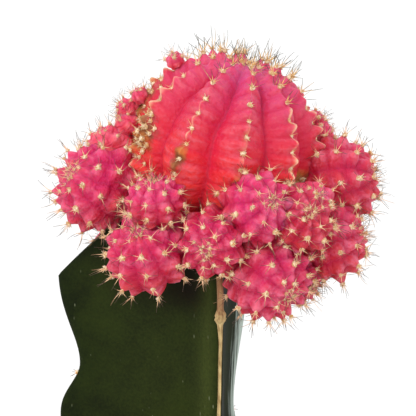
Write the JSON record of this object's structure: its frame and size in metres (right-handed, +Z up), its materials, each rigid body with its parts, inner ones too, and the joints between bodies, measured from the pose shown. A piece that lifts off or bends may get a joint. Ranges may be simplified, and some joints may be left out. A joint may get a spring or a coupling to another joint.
{
  "type": "potted moon cactus",
  "caption": "Ribbed coral globe cactus ringed by spiny magenta offsets, grafted on a green winged stem that stands in soil in a plain round clay pot.",
  "frame": {"origin": "centre of the pot's underside", "axes": "+Z up, from the pot to the cactus's crown; -Y towards the front, the side that the picture shows"},
  "size_m": [0.104, 0.104, 0.2197],
  "materials": {
    "clay": "matte, unglazed terracotta",
    "potting_soil": "rough, crumbly peat and bark",
    "green_stem": "smooth, waxy skin with a soft sheen",
    "dried_cork": "dry, fibrous cork",
    "coral_flesh": "smooth, moist flesh under cream wool and straw-coloured spines"
  },
  "bodies": {
    "root": {"pot": "clay", "soil": "potting_soil", "rootstock": "green_stem", "dried_rib_edge": "dried_cork", "grafted_scion": "coral_flesh"}
  },
  "joints": []
}
